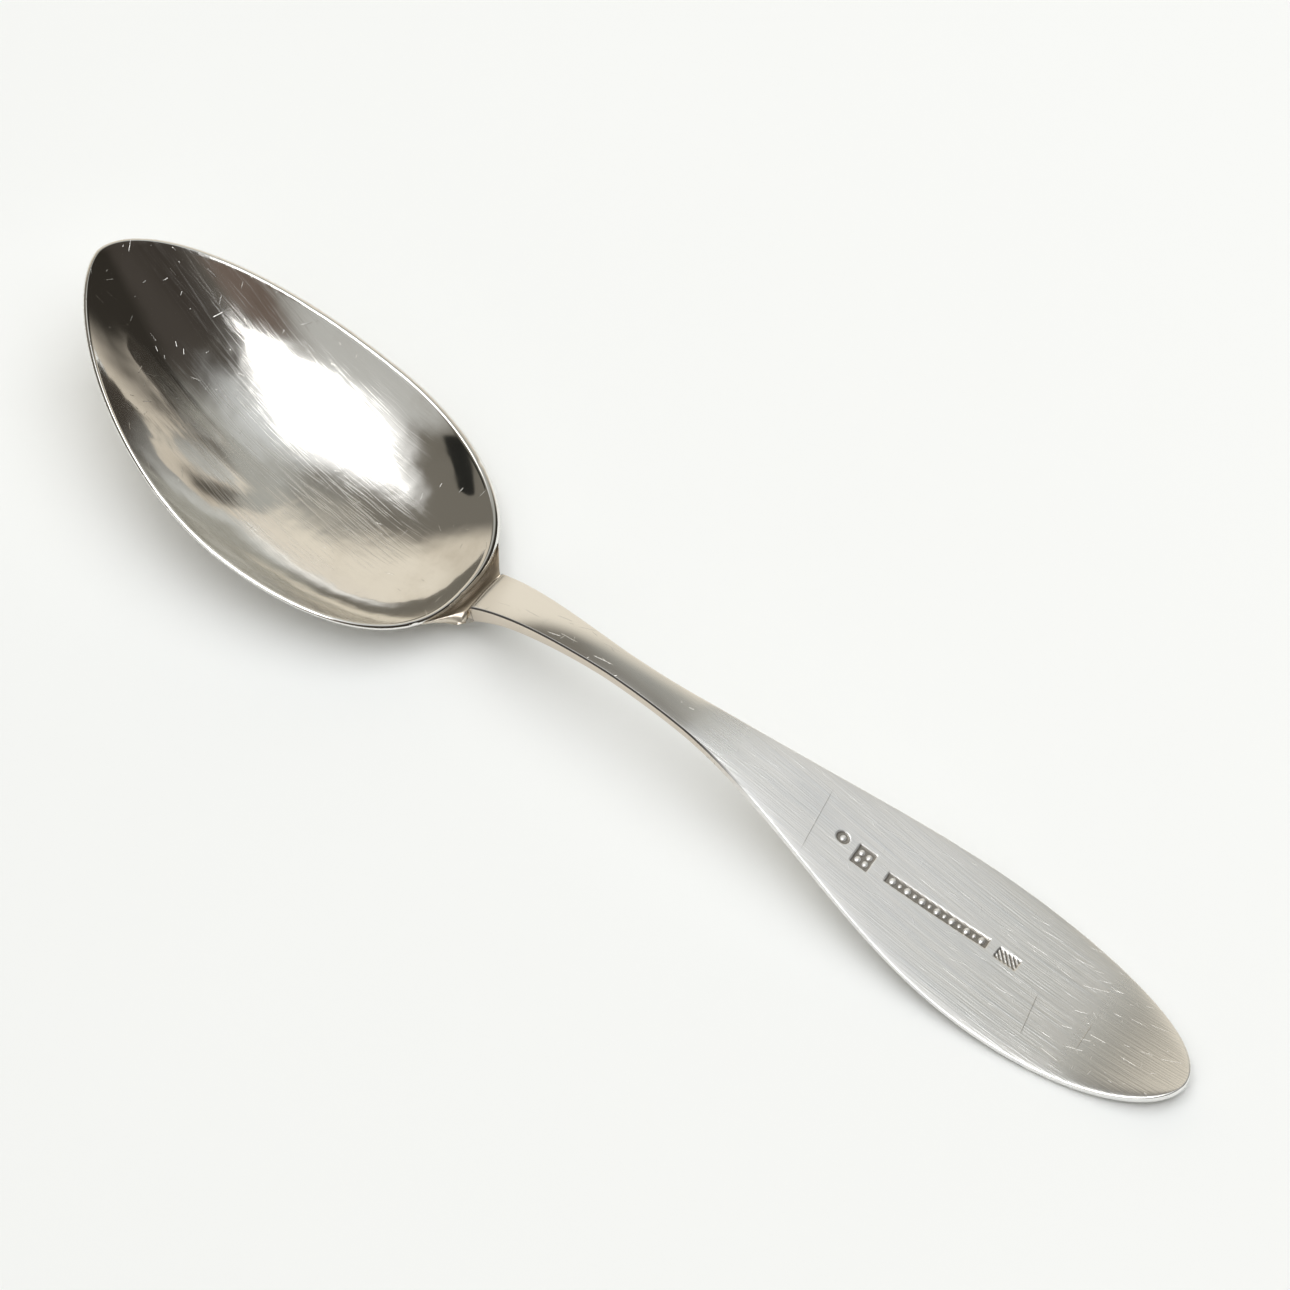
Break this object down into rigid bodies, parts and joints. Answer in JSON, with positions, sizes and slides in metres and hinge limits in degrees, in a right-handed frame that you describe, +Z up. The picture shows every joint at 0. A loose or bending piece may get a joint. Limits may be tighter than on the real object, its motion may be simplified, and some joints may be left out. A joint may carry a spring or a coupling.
{
  "type": "tablespoon",
  "caption": "Tablespoon with a deep pointed-oval bowl soldered to an arched stem that widens into a flat rounded end, for lifting and carrying food.",
  "frame": {"origin": "middle of the bounding box, on the plane of the table the spoon lies on", "axes": "+X from the bowl's tip to the handle's end, +Y to the right-hand rim as seen from the handle's end, +Z up out of the bowl"},
  "size_m": [0.205, 0.0424, 0.0207],
  "materials": {
    "bowl_silver": "worn polished silver with fine scratches",
    "handle_silver": "satin silver, fine lines along its length",
    "solder": "dull, slightly brown silver solder"
  },
  "bodies": {
    "root": {"bowl": "bowl_silver", "handle": "handle_silver", "lip_solder": "solder", "tongue_solder": "solder"}
  },
  "joints": []
}
